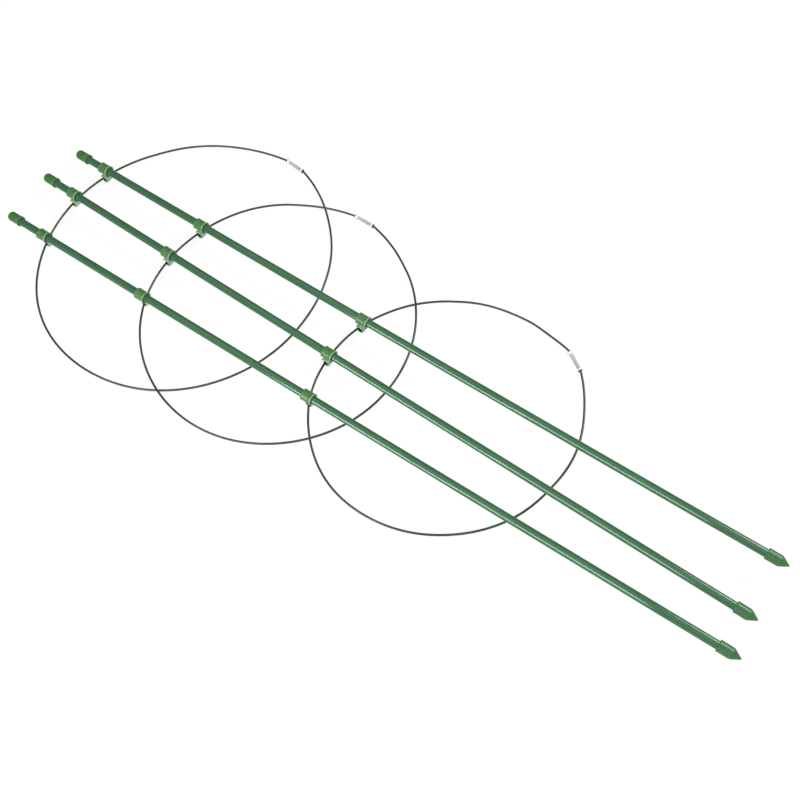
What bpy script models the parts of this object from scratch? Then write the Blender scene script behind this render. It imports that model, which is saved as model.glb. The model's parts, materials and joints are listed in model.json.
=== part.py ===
"""Garden trellis: three coated stakes and three wire rings, folded flat.

The stakes lie side by side on top of the rings. Nine clips join them: each has a collar that slides
on a stake and a hook that a ring's wire turns in, so the set folds and unfolds like a parallelogram.
The set is modelled with its middle stake along +X, and then laid on the ground with +Z up.
"""

import math

import bmesh
import bpy
from mathutils import Matrix, Vector

MM = 0.001
RUNNING_GAP = 0.3 * MM
COLLECTION_NAME = "garden_trellis"
CUTTER_COLLECTION_NAME = "guides"

# Stakes: a plastic coat on a steel tube, with a blunt cap and a pointed tip
STAKE_LENGTH = 900.0 * MM
STAKE_DIAMETER = 8.0 * MM
COAT_WALL = 0.55 * MM
CORE_WALL = 0.6 * MM
# Each stake's offset along X, its sideways place at half length, and its slant in degrees
STAKES = {
    "a": (5.4 * MM, -50.9 * MM, 0.76),
    "b": (0.0 * MM, 0.0 * MM, -0.81),
    "c": (2.5 * MM, 53.0 * MM, 0.05),
}

CAP_LENGTH = 17.0 * MM
CAP_WALL = 1.2 * MM
CAP_CROWN = 2.5 * MM
CAP_ROUNDING = 2.4 * MM
CAP_RIM_HEIGHT = 0.45 * MM
CAP_RIM_LENGTH = 1.3 * MM

TIP_LENGTH = 21.5 * MM
TIP_WALL = 1.35 * MM
TIP_CONE_LENGTH = 8.5 * MM
TIP_SHOULDER = 2.2 * MM
TIP_NOSE_RADIUS = 0.9 * MM
TIP_FLOOR = 1.2 * MM
TIP_RIM_HEIGHT = 0.25 * MM
TIP_RIM_LENGTH = 0.9 * MM

# Rings: place of each ring's clip from the cap end of stake b, diameter, sideways place of the
# centre, angle round the ring of the joint between the wire's ends, and the outward bulge at the
# joint with the degrees that it spreads to each side
WIRE_DIAMETER = 2.2 * MM
RINGS = {
    1: (43.2 * MM, 324.0 * MM, 9.4 * MM, 83.0, 18.0 * MM, 60.0),
    2: (192.8 * MM, 298.0 * MM, 11.2 * MM, 89.5, 6.5 * MM, 30.0),
    3: (419.8 * MM, 265.0 * MM, 12.4 * MM, 57.9, 21.5 * MM, 60.0),
}
BULGE_POWER = 1.3
RING_STEPS = 60
CROSSING_GAP = 0.75 * MM

# Sleeves that join the two ends of each ring's wire
SLEEVE_LENGTH = 25.0 * MM
SLEEVE_WALL = 0.7 * MM
SLEEVE_FLARE = 0.35 * MM
SLEEVE_FLARE_LENGTH = 2.6 * MM
WIRE_END_GAP = 1.0 * MM
KINK_GAP = 0.8 * MM

# Clips: a collar on the stake and a hook round the wire
COLLAR_LENGTH = 12.5 * MM
COLLAR_WALL = 1.8 * MM
COLLAR_RIM_HEIGHT = 0.5 * MM
COLLAR_RIM_LENGTH = 1.1 * MM
COLLAR_BEAD_HEIGHT = 0.2 * MM
HOOK_WALL = 2.2 * MM
HOOK_WIDTH = 4.0 * MM
HOOK_PLACE = 0.5 * MM
HOOK_NECK = 1.5 * MM
HOOK_MOUTH_ANGLE = math.radians(215.0)
HOOK_MOUTH = 2.1 * MM
HOOK_EYE_SLACK = 0.5 * MM
HOOK_STEPS = 16
WEB_LENGTH = 7.6 * MM
WEB_WIDTH = 3.2 * MM
WEB_SKIN = 0.6 * MM

TURNING_STEPS = 20
TUBE_TURNING_STEPS = 16
SMALL_TURNING_STEPS = 12
WIRE_BEVEL_RESOLUTION = 2
ROUNDING_STEPS = 3
CROSSING_PASSES = 4
MERGE_DISTANCE = 0.002 * MM
SMOOTH_ANGLE = math.radians(35.0)
AXIS_DISPLAY_SIZE = 10.0 * MM

STAKE_RADIUS = STAKE_DIAMETER / 2
WIRE_RADIUS = WIRE_DIAMETER / 2
SOCKET_RADIUS = STAKE_RADIUS + RUNNING_GAP
COLLAR_RADIUS = SOCKET_RADIUS + COLLAR_WALL

# Each material's name, colour, roughness and metallic share
MATERIALS = {
    "stake": ("coated_stake", (0.040, 0.150, 0.085), 0.35, 0.0),
    "moulded": ("moulded_green", (0.055, 0.200, 0.050), 0.45, 0.0),
    "wire": ("coated_wire", (0.020, 0.035, 0.022), 0.4, 0.0),
    "sleeve": ("clear_sleeve", (0.700, 0.690, 0.740), 0.3, 0.0),
    "steel": ("tube_steel", (0.550, 0.550, 0.560), 0.35, 1.0),
}


# Helpers


def clear_scene():
    """Removes the objects that a new scene starts with."""
    for old in list(bpy.data.objects):
        bpy.data.objects.remove(old, do_unlink=True)


def new_collection(name):
    """Adds a collection to the scene."""
    collection = bpy.data.collections.new(name)
    bpy.context.scene.collection.children.link(collection)
    return collection


def new_material(name, colour, roughness, metallic):
    """Makes a plain Principled material."""
    material = bpy.data.materials.new(name)
    material.use_nodes = True
    shader = material.node_tree.nodes["Principled BSDF"]
    shader.inputs["Base Color"].default_value = (*colour, 1.0)
    shader.inputs["Roughness"].default_value = roughness
    shader.inputs["Metallic"].default_value = metallic
    return material


def new_empty(name, collection, parent, location, rotation=(0.0, 0.0, 0.0)):
    """Adds an empty that carries the pieces of one moving group."""
    empty = bpy.data.objects.new(name, None)
    empty.empty_display_size = AXIS_DISPLAY_SIZE
    collection.objects.link(empty)
    empty.parent = parent
    empty.location = location
    empty.rotation_euler = rotation
    return empty


def place(piece, parent, location, rotation=(0.0, 0.0, 0.0)):
    """Hangs a piece on its parent."""
    piece.parent = parent
    piece.location = location
    piece.rotation_euler = rotation


def turned(name, profile, collection, material, closed, steps=TURNING_STEPS):
    """Turns a profile of (radius, height) points round Z; it runs down the outer side."""
    mesh = bpy.data.meshes.new(name)
    shape = bmesh.new()
    points = [shape.verts.new((radius, 0.0, height)) for radius, height in profile]
    for first, second in zip(points, points[1:]):
        shape.edges.new((first, second))
    if closed:
        shape.edges.new((points[-1], points[0]))
    shape.to_mesh(mesh)
    shape.free()
    piece = bpy.data.objects.new(name, mesh)
    collection.objects.link(piece)
    mesh.materials.append(material)
    screw = piece.modifiers.new("turning", "SCREW")
    screw.axis = "Z"
    screw.angle = math.tau
    screw.steps = steps
    screw.render_steps = steps
    screw.use_merge_vertices = True
    screw.merge_threshold = MERGE_DISTANCE
    screw.use_smooth_shade = True
    return piece


def wire(name, points, radius, collection, material):
    """Draws a round wire with filled ends through a list of points."""
    curve = bpy.data.curves.new(name, "CURVE")
    curve.dimensions = "3D"
    curve.bevel_depth = radius
    curve.bevel_resolution = WIRE_BEVEL_RESOLUTION
    curve.render_resolution_u = 0
    curve.use_fill_caps = True
    spline = curve.splines.new("POLY")
    spline.points.add(len(points) - 1)
    for knot, point in zip(spline.points, points):
        knot.co = (*point, 1.0)
    curve.materials.append(material)
    piece = bpy.data.objects.new(name, curve)
    collection.objects.link(piece)
    return piece


def baked_mesh(piece, name):
    """Gives the evaluated mesh of a piece in world space, with caps welded and normals outward."""
    bpy.context.view_layer.update()
    depsgraph = bpy.context.evaluated_depsgraph_get()
    mesh = bpy.data.meshes.new_from_object(piece.evaluated_get(depsgraph))
    mesh.name = name
    mesh.transform(piece.matrix_world)
    shape = bmesh.new()
    shape.from_mesh(mesh)
    bmesh.ops.remove_doubles(shape, verts=shape.verts, dist=MERGE_DISTANCE)
    bmesh.ops.recalc_face_normals(shape, faces=shape.faces)
    shape.to_mesh(mesh)
    shape.free()
    return mesh


def as_mesh_object(piece, name, collection):
    """Swaps a piece for a plain mesh object with the same shape."""
    mesh = baked_mesh(piece, name)
    bpy.data.objects.remove(piece, do_unlink=True)
    result = bpy.data.objects.new(name, mesh)
    collection.objects.link(result)
    return result


def hide_guide(piece):
    """Marks a cutter or a part-made shape as a guide that isn't a piece of the model."""
    piece.hide_render = True
    piece.display_type = "WIRE"


def join(target, other):
    """Adds one shape to another with an exact Boolean."""
    union = target.modifiers.new(other.name, "BOOLEAN")
    union.operation = "UNION"
    union.solver = "EXACT"
    union.object = other


def quarter_arc(centre_radius, centre_height, radius, start, end):
    """Points of a rounded corner in a turned profile, angles in degrees from outward to up."""
    points = []
    for step in range(ROUNDING_STEPS + 1):
        angle = math.radians(start + (end - start) * step / ROUNDING_STEPS)
        points.append((centre_radius + radius * math.cos(angle), centre_height + radius * math.sin(angle)))
    return points


def rounded_corner(before, corner, after):
    """Points of a curve that leaves one side of a corner and joins the other without touching it."""
    points = []
    for step in range(ROUNDING_STEPS + 1):
        share = step / ROUNDING_STEPS
        weights = ((1.0 - share) ** 2, 2.0 * share * (1.0 - share), share**2)
        points.append(tuple(
            sum(weight * point[axis] for weight, point in zip(weights, (before, corner, after)))
            for axis in range(2)
        ))
    return points


# Layout of the folded set, in the frame of stake b


def stake_side(stake, x):
    """Sideways place of a stake's axis at x."""
    _, side, slant = STAKES[stake]
    return side + math.tan(math.radians(slant)) * x


def ring_fold_x(ring):
    """Place along X of a ring's fold axis, which is its wire at stake b."""
    place_on_stake = RINGS[ring][0]
    return -STAKE_LENGTH / 2 + place_on_stake


def ring_centre(ring):
    """Centre of a ring: one radius from its fold axis, and to one side of stake b."""
    _, diameter, side, *_ = RINGS[ring]
    radius = diameter / 2
    x = ring_fold_x(ring)
    across = stake_side("b", x) - side
    return x + math.sqrt(radius**2 - across**2), side


def wire_offset(ring, stake):
    """How far along X the ring's wire at a stake lies from its wire at stake b."""
    radius = RINGS[ring][1] / 2
    centre_x, centre_side = ring_centre(ring)
    x = ring_fold_x(ring)
    for _ in range(CROSSING_PASSES):
        across = stake_side(stake, x) - centre_side
        x = centre_x - math.sqrt(radius**2 - across**2)
    return x - ring_fold_x(ring)


def stake_offset(stake):
    """Shared offset of a stake's hooks from the fold axes, so that the fold stays a parallelogram."""
    offsets = [wire_offset(ring, stake) for ring in RINGS]
    return (min(offsets) + max(offsets)) / 2


def wire_stray(stake):
    """Largest distance of the rings' wires from the fold axes of a stake's hooks."""
    return max(abs(wire_offset(ring, stake) - stake_offset(stake)) for ring in RINGS)


def wire_slant(stake):
    """Largest angle between a ring's wire and the cross direction in a stake's hooks."""
    angles = []
    for ring in RINGS:
        _, centre_side = ring_centre(ring)
        across = stake_side(stake, ring_fold_x(ring)) - centre_side
        angles.append(math.asin(abs(across) / (RINGS[ring][1] / 2)))
    return max(angles)


def swept_radius(stake):
    """Room that a slanting, straying wire needs round its fold axis, up to the hook's oval bar."""
    slant = wire_slant(stake)
    half_wall = HOOK_WALL / 2
    bar = math.hypot(half_wall * math.cos(slant), HOOK_WIDTH / 2 * math.sin(slant))
    reach = (WIRE_RADIUS + bar) / math.cos(slant) + wire_stray(stake) + HOOK_EYE_SLACK
    return reach - half_wall


def eye_shift(stake):
    """How far a stake's eyes lie towards the tips, so that the wire is seated on their cap side."""
    return EYE_RADIUS - swept_radius(stake)


EYE_RADIUS = max(swept_radius(stake) for stake in STAKES)
HOOK_RADIUS = EYE_RADIUS + HOOK_WALL
HOOK_DEPTH = COLLAR_RADIUS + HOOK_NECK + HOOK_RADIUS


def ring_slopes():
    """Slopes of the rings against the stakes, so that each lies clear over the one before it.

    Rings 1 and 2 are parallel. Ring 1 touches the ground with its hooks and its far side, which
    sets the rise of the stakes, and ring 3 reaches the ground with its far side.
    """
    first_two = (WIRE_DIAMETER + CROSSING_GAP) / (ring_fold_x(2) - ring_fold_x(1))
    ring_1_fall = (HOOK_RADIUS - WIRE_RADIUS) / RINGS[1][1]
    rise = first_two - ring_1_fall
    ring_3_height = HOOK_RADIUS + rise * (ring_fold_x(3) - ring_fold_x(1))
    ring_3_fall = (ring_3_height - WIRE_RADIUS) / RINGS[3][1]
    slopes = {1: first_two, 2: first_two, 3: ring_3_fall + rise}
    return slopes, rise


RING_SLOPES, STAKE_RISE = ring_slopes()


# Pieces


def add_stake(stake, collection, root, materials):
    """A stake: coat, steel tube, cap and tip, along the Z axis of its own empty."""
    shift, side, slant = STAKES[stake]
    start_x = shift - STAKE_LENGTH / 2
    start = Vector((start_x, stake_side(stake, start_x), 0.0))
    turn = Matrix.Rotation(math.radians(slant), 4, "Z") @ Matrix.Rotation(math.pi / 2, 4, "Y")
    axis = new_empty(f"stake_{stake}_axis", collection, root, start, turn.to_euler())

    tube_start = CAP_CROWN + RUNNING_GAP
    tube_end = STAKE_LENGTH - TIP_CONE_LENGTH - TIP_FLOOR - RUNNING_GAP
    add_tube(
        f"stake_tube_{stake}", STAKE_RADIUS, COAT_WALL, tube_start, tube_end,
        collection, axis, materials["stake"],
    )
    core_radius = STAKE_RADIUS - COAT_WALL - RUNNING_GAP
    add_tube(
        f"stake_core_{stake}", core_radius, CORE_WALL, tube_start, tube_end,
        collection, axis, materials["steel"],
    )
    cap = turned(f"stake_cap_{stake}", cap_profile(), collection, materials["moulded"], closed=False)
    place(cap, axis, (0.0, 0.0, 0.0))
    tip = turned(f"stake_tip_{stake}", tip_profile(), collection, materials["moulded"], closed=False)
    place(tip, axis, (0.0, 0.0, STAKE_LENGTH))


def add_tube(name, radius, wall, start, end, collection, axis, material):
    """A plain tube between two heights on a stake's axis."""
    length = end - start
    profile = [(radius, length), (radius, 0.0), (radius - wall, 0.0), (radius - wall, length)]
    tube = turned(name, profile, collection, material, closed=True, steps=TUBE_TURNING_STEPS)
    place(tube, axis, (0.0, 0.0, start))


def cap_profile():
    """Blunt cap: crown at height 0, with a socket for the stake and a rim at the open end."""
    radius = SOCKET_RADIUS + CAP_WALL
    rim = radius + CAP_RIM_HEIGHT
    rim_start = CAP_LENGTH - CAP_RIM_LENGTH
    crown = quarter_arc(radius - CAP_ROUNDING, CAP_ROUNDING, CAP_ROUNDING, 0.0, -90.0)
    return [
        (0.0, CAP_CROWN),
        (SOCKET_RADIUS, CAP_CROWN),
        (SOCKET_RADIUS, CAP_LENGTH),
        (rim, CAP_LENGTH),
        (rim, rim_start),
        (radius, rim_start - CAP_RIM_HEIGHT),
        *crown,
        (0.0, 0.0),
    ]


def tip_profile():
    """Pointed tip: point at height 0, with a socket for the stake at its open end below."""
    radius = SOCKET_RADIUS + TIP_WALL
    rim = radius + TIP_RIM_HEIGHT
    cone_angle = math.atan2(radius, TIP_CONE_LENGTH)
    nose = []
    for step in range(ROUNDING_STEPS):
        angle = math.pi / 2 - (math.pi / 2 - cone_angle) * step / (ROUNDING_STEPS - 1)
        nose.append((TIP_NOSE_RADIUS * math.cos(angle), TIP_NOSE_RADIUS * (math.sin(angle) - 1.0)))
    shoulder = rounded_corner(
        (radius - TIP_SHOULDER * math.sin(cone_angle), TIP_SHOULDER * math.cos(cone_angle) - TIP_CONE_LENGTH),
        (radius, -TIP_CONE_LENGTH),
        (radius, -TIP_CONE_LENGTH - TIP_SHOULDER),
    )
    return [
        *nose,
        *shoulder,
        (radius, -TIP_LENGTH + TIP_RIM_LENGTH + TIP_RIM_HEIGHT),
        (rim, -TIP_LENGTH + TIP_RIM_LENGTH),
        (rim, -TIP_LENGTH),
        (SOCKET_RADIUS, -TIP_LENGTH),
        (SOCKET_RADIUS, -TIP_CONE_LENGTH - TIP_FLOOR),
        (0.0, -TIP_CONE_LENGTH - TIP_FLOOR),
    ]


def ring_reach(ring, angle):
    """Distance of the wire from the ring's centre, at an angle measured from the joint."""
    _, diameter, _, _, bulge, spread = RINGS[ring]
    away = abs(angle) / math.radians(spread)
    if away >= 1.0:
        return diameter / 2
    return diameter / 2 + bulge * (1.0 - away) ** BULGE_POWER


def ring_path(ring):
    """Points of a ring's wire round its centre, with the place and direction of its joint.

    The wire is bent just outside the sleeve, and its two ends run straight into it.
    """
    joint = math.radians(RINGS[ring][3])
    reach = ring_reach(ring, 0.0)
    half = SLEEVE_LENGTH / 2 + KINK_GAP
    bend = math.asin(half / reach)

    def on_ring(angle):
        distance = ring_reach(ring, angle)
        return Vector((distance * math.cos(joint + angle), distance * math.sin(joint + angle), 0.0))

    middle = (on_ring(-bend) + on_ring(bend)) / 2
    direction = (on_ring(bend) - on_ring(-bend)).normalized()
    points = [middle + direction * WIRE_END_GAP / 2]
    for step in range(RING_STEPS + 1):
        angle = bend + (math.tau - 2 * bend) * step / RING_STEPS
        signed = angle if angle < math.pi else angle - math.tau
        points.append(on_ring(signed))
    points.append(middle - direction * WIRE_END_GAP / 2)
    return points, middle, direction


def add_ring(ring, collection, root, materials):
    """A wire ring with its origin on the fold axis at stake b, and the sleeve on its joint."""
    fold_x = ring_fold_x(ring)
    centre_x, centre_side = ring_centre(ring)
    fold_point = Vector((fold_x, stake_side("b", fold_x), -HOOK_DEPTH))
    to_centre = Vector((centre_x - fold_point.x, centre_side - fold_point.y, 0.0))
    points, middle, direction = ring_path(ring)
    loop = wire(
        f"ring_wire_{ring}", [point + to_centre for point in points], WIRE_RADIUS,
        collection, materials["wire"],
    )
    place(loop, root, fold_point, (0.0, math.atan(RING_SLOPES[ring]), 0.0))
    sleeve = turned(
        f"ring_sleeve_{ring}", sleeve_profile(), collection, materials["sleeve"],
        closed=True, steps=SMALL_TURNING_STEPS,
    )
    turn = Vector((0.0, 0.0, 1.0)).rotation_difference(direction)
    place(sleeve, loop, middle + to_centre, turn.to_euler())


def sleeve_profile():
    """Sleeve: a short tube with both ends flared, centred on height 0."""
    bore = WIRE_RADIUS + RUNNING_GAP
    body = bore + SLEEVE_WALL
    flare = body + SLEEVE_FLARE
    half = SLEEVE_LENGTH / 2
    waist = half - SLEEVE_FLARE_LENGTH
    return [
        (flare, half),
        (flare, waist),
        (body, waist - SLEEVE_FLARE),
        (body, -waist + SLEEVE_FLARE),
        (flare, -waist),
        (flare, -half),
        (bore, -half),
        (bore, half),
    ]


def collar_profile():
    """Collar of a clip, centred on height 0, with a rim at the tip side and a bead at the cap side."""
    half = COLLAR_LENGTH / 2
    rim = COLLAR_RADIUS + COLLAR_RIM_HEIGHT
    bead = COLLAR_RADIUS + COLLAR_BEAD_HEIGHT
    return [
        (rim, half),
        (rim, half - COLLAR_RIM_LENGTH),
        (COLLAR_RADIUS, half - COLLAR_RIM_LENGTH - COLLAR_RIM_HEIGHT),
        (COLLAR_RADIUS, -half + COLLAR_RIM_LENGTH),
        (bead, -half + COLLAR_RIM_LENGTH - COLLAR_BEAD_HEIGHT),
        (bead, -half),
        (SOCKET_RADIUS, -half),
        (SOCKET_RADIUS, half),
    ]


def clip_mesh(guides, material):
    """One clip with its origin in the middle of the hook's eye, its stake along X above it."""
    collar = turned("clip_collar", collar_profile(), guides, material, closed=True)
    place(collar, None, (-HOOK_PLACE, 0.0, HOOK_DEPTH), (0.0, math.pi / 2, 0.0))
    body = as_mesh_object(collar, "clip_body", guides)
    body.data.materials.clear()
    body.data.materials.append(material)

    bar_radius = EYE_RADIUS + HOOK_WALL / 2
    half_mouth = math.asin(HOOK_MOUTH / 2 / EYE_RADIUS)
    points = []
    for step in range(HOOK_STEPS + 1):
        share = step / HOOK_STEPS
        angle = HOOK_MOUTH_ANGLE + half_mouth + (math.tau - 2 * half_mouth) * share
        points.append(Vector((bar_radius * math.cos(angle), 0.0, bar_radius * math.sin(angle))))
    bar = wire("clip_hook_bar", points, HOOK_WALL / 2, guides, material)
    hook = as_mesh_object(bar, "clip_hook", guides)
    hook.data.transform(Matrix.Scale(HOOK_WIDTH / HOOK_WALL, 4, (0.0, 1.0, 0.0)))

    web_bottom = EYE_RADIUS + WEB_SKIN
    web_top = HOOK_DEPTH - SOCKET_RADIUS - WEB_SKIN
    bpy.ops.mesh.primitive_cube_add(size=1.0, location=(0.0, 0.0, (web_bottom + web_top) / 2))
    web = bpy.context.object
    web.name = "clip_web"
    web.scale = (WEB_LENGTH, WEB_WIDTH, web_top - web_bottom)
    for old_collection in list(web.users_collection):
        old_collection.objects.unlink(web)
    guides.objects.link(web)

    join(body, hook)
    join(body, web)
    mesh = baked_mesh(body, "clip")
    mesh.shade_smooth()
    mesh.set_sharp_from_angle(angle=SMOOTH_ANGLE)
    for guide in (body, hook, web):
        hide_guide(guide)
    return mesh


def seated_clip(clip, stake):
    """A clip whose origin is on its fold axis, with its eye shifted for one stake."""
    seated = clip.copy()
    seated.name = f"clip_{stake}"
    seated.transform(Matrix.Translation((eye_shift(stake), 0.0, 0.0)))
    return seated


def add_clips(ring, collection, root, clips):
    """The three clips of one ring, each turned to the line of its stake."""
    for stake in STAKES:
        x = ring_fold_x(ring) + stake_offset(stake)
        clip = bpy.data.objects.new(f"clip_{stake}_{ring}", clips[stake])
        collection.objects.link(clip)
        slant = math.radians(STAKES[stake][2])
        place(clip, root, (x, stake_side(stake, x), -HOOK_DEPTH), (0.0, 0.0, slant))


def lay_on_ground(root, collection):
    """Leans the set by the stakes' rise and brings the foot of its box to the world's origin."""
    root.rotation_euler = (0.0, -math.atan(STAKE_RISE), 0.0)
    bpy.context.view_layer.update()
    depsgraph = bpy.context.evaluated_depsgraph_get()
    low = Vector((math.inf, math.inf, math.inf))
    high = -low
    for piece in collection.objects:
        if piece.type == "EMPTY":
            continue
        evaluated = piece.evaluated_get(depsgraph)
        mesh = evaluated.to_mesh()
        for vertex in mesh.vertices:
            point = piece.matrix_world @ vertex.co
            low = Vector(map(min, low, point))
            high = Vector(map(max, high, point))
        evaluated.to_mesh_clear()
    root.location = (-(low.x + high.x) / 2, -(low.y + high.y) / 2, -low.z)
    bpy.context.view_layer.update()


def main():
    """Builds the trellis."""
    clear_scene()
    collection = new_collection(COLLECTION_NAME)
    guides = new_collection(CUTTER_COLLECTION_NAME)
    materials = {slot: new_material(*values) for slot, values in MATERIALS.items()}
    root = new_empty("folded_set", collection, None, (0.0, 0.0, 0.0))
    clip = clip_mesh(guides, materials["moulded"])
    clips = {stake: seated_clip(clip, stake) for stake in STAKES}
    for stake in STAKES:
        add_stake(stake, collection, root, materials)
    for ring in RINGS:
        add_ring(ring, collection, root, materials)
        add_clips(ring, collection, root, clips)
    lay_on_ground(root, collection)


main()
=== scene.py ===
"""Looks of the garden trellis: coated stakes, moulded ends and clips, wire rings and clear sleeves.

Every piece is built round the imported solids. A stake's pieces lie along the Z axis of their own
object, a ring's wire lies in the XY plane of its object, and a clip has its collar along X, above a
hook that opens round its Y axis.
"""

import json
import math

import bmesh
import bpy
from mathutils import Matrix, Vector

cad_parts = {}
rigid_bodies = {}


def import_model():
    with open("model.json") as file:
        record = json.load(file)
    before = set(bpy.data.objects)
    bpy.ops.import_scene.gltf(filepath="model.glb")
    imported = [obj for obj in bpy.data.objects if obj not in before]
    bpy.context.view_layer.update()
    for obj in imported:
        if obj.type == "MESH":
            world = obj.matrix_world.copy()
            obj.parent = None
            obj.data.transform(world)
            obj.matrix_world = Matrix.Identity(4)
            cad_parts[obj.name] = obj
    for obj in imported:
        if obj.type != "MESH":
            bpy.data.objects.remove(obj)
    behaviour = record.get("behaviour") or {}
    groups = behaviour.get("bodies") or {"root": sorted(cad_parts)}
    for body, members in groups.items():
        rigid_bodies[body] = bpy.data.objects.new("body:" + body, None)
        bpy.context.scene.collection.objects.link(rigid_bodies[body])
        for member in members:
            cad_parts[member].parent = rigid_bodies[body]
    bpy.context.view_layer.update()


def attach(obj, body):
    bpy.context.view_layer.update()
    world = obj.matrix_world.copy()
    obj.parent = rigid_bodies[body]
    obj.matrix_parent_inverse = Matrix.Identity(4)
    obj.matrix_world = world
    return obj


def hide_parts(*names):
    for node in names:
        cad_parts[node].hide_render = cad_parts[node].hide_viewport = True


MM = 0.001

# Stakes: a coat on a steel tube, the room that it has in cap and tip, and the bore of what sits on it
STAKE_LENGTH = 900.0 * MM
STAKE_RADIUS = 4.2 * MM
COAT_WALL = 0.6 * MM
CORE_RADIUS = 3.5 * MM
CORE_WALL = 0.5 * MM
RUNNING_GAP = 0.3 * MM
SOCKET_RADIUS = 4.35 * MM

# Caps: the rounding of the crown, the mark of the gate in its middle, and the rim at the open end
CAP_LENGTH = 17.0 * MM
CAP_RADIUS = 5.5 * MM
CAP_CROWN = 2.5 * MM
CAP_ROUNDING = 2.4 * MM
CAP_ROUNDING_MIDDLE = 0.7 * MM
CAP_RIM_RADIUS = 5.95 * MM
CAP_RIM_LENGTH = 1.3 * MM
CAP_RIM_SLOPE = 0.45 * MM
GATE_RADIUS = 1.5 * MM
GATE_FLOOR_RADIUS = 1.3 * MM
GATE_DEPTH = 0.35 * MM

# Tips: a blunt nose, a cone, a barrel with a floor in it, and the rim at the open end
TIP_LENGTH = 21.5 * MM
TIP_RADIUS = 5.65 * MM
TIP_RIM_RADIUS = 5.9 * MM
TIP_RIM_LENGTH = 0.9 * MM
TIP_RIM_SLOPE = 0.25 * MM
TIP_CONE_LENGTH = 8.5 * MM
TIP_NOSE_RADIUS = 0.9 * MM
TIP_FLOOR = 1.2 * MM

# Collars: the rim at the tip side, a fine groove, and the bead at the cap side
COLLAR_LENGTH = 12.5 * MM
COLLAR_RADIUS = 6.1 * MM
COLLAR_RIM_RADIUS = 6.6 * MM
COLLAR_RIM_LENGTH = 1.1 * MM
COLLAR_RIM_FOOT = 1.5 * MM
COLLAR_GROOVE_PLACE = 3.0 * MM
COLLAR_GROOVE_DEPTH = 0.3 * MM
COLLAR_BEAD_RISE = 0.2 * MM
COLLAR_BEAD_LENGTH = 0.9 * MM
COLLAR_BEAD_FOOT = 1.1 * MM
# How far a collar's middle lies from its clip's origin towards the tip
COLLAR_LEAD = 1.5 * MM

# Hooks: from the stake's axis down to the clip's origin, the eye, its wall and its mouth
HOOK_DEPTH = 12.94 * MM
EYE_RADIUS = 3.6 * MM
HOOK_WALL = 1.75 * MM
HOOK_MOUTH_ANGLE = math.radians(197.0)
HOOK_MOUTH = 2.4 * MM
# How thick a hook's last sections are, and how square each section is: 1 is round, 0 is square
HOOK_END_SHARES = (0.72, 0.93)
SECTION_ROUNDNESS = 0.5
# Webs between collar and hook, which stop a skin short of bore and eye
WEB_LENGTH = 7.4 * MM
WEB_WIDTH = 5.4 * MM
WEB_SKIN = 0.6 * MM
WEB_BEVEL = 0.8 * MM

# Wires and the sleeves that hold their ends
WIRE_RADIUS = 1.2 * MM
WIRE_END_GAP = 1.0 * MM
KINK_GAP = 0.8 * MM
BULGE_POWER = 1.3
SLEEVE_LENGTH = 25.0 * MM
SLEEVE_BORE = 1.45 * MM
SLEEVE_RADIUS = 1.95 * MM
SLEEVE_LIP = 0.8 * MM
SLEEVE_FLARE_RADIUS = 2.55 * MM
SLEEVE_FLARE_LENGTH = 2.6 * MM
SLEEVE_FLARE_EDGE = 0.4 * MM
SLEEVE_WAIST_START = 0.7 * MM
SLEEVE_WAIST_END = 2.4 * MM
SLEEVE_WAIST_DEPTH = 0.1 * MM

# Fillets of the moulded edges
EDGE_FILLET = 0.2 * MM
LIP_FILLET = 0.25 * MM
RIM_FILLET = 0.3 * MM
GROOVE_FILLET = 0.15 * MM
BEAD_FILLET = 0.1 * MM
CAP_ROUNDING_FILLET = 0.8 * MM
CAP_MIDDLE_FILLET = 0.6 * MM
TIP_SHOULDER_FILLET = 2.2 * MM
TIP_RIM_FILLET = 0.12 * MM
FLARE_FILLET = 0.5 * MM
WAIST_FILLET = 0.6 * MM

# Each stake's two ends: the middle of its cap's crown and the point of its tip
STAKES = {
    "a": ((-0.447227, -0.074908, 0.018301), (0.452674, -0.062971, 0.02427)),
    "b": ((-0.452626, -0.011748, 0.018265), (0.449264, -0.0245, 0.024247)),
    "c": ((-0.444826, 0.034502, 0.018317), (0.449853, 0.035286, 0.024251)),
}
# How far the middle of each stake bows out towards -Y
BOWS = {"a": 0.7 * MM, "b": 1.0 * MM, "c": 1.3 * MM}
# How far the origins of each stake's clips lie from their fold axes towards the tips
CLIP_SHIFTS = {"a": 0.2 * MM, "b": 1.92 * MM, "c": 1.65 * MM}
# Each stake's hooks: width, and how far they lie towards the cap and towards -Y
HOOKS = {
    "a": (5.0 * MM, 0.0, 0.0),
    "b": (8.6 * MM, 1.2 * MM, 1.6 * MM),
    "c": (8.6 * MM, 1.2 * MM, 1.6 * MM),
}
# Each clip's fold axis
CLIPS = {
    "a_1": (-0.394613, -0.074212, 0.00571),
    "a_2": (-0.245016, -0.072227, 0.006702),
    "a_3": (-0.018021, -0.069216, 0.008208),
    "b_1": (-0.409342, -0.012359, 0.005612),
    "b_2": (-0.259745, -0.014474, 0.006604),
    "b_3": (-0.03275, -0.017684, 0.00811),
    "c_1": (-0.403559, 0.034539, 0.00565),
    "c_2": (-0.253962, 0.03467, 0.006643),
    "c_3": (-0.026967, 0.034868, 0.008148),
}
# Each ring's centre, fall along X, diameter, joint angle, bulge at the joint and its spread
RINGS = {
    "1": ((-0.247397, -0.008011, 0.003543), 0.012775, 324.0 * MM, 83.0, 18.0 * MM, 60.0),
    "2": ((-0.11095, -0.006911, 0.004657), 0.013083, 298.0 * MM, 89.2, 7.0 * MM, 30.0),
    "3": ((0.099165, -0.005711, 0.004957), 0.0239, 265.0 * MM, 57.9, 21.5 * MM, 60.0),
}
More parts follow.
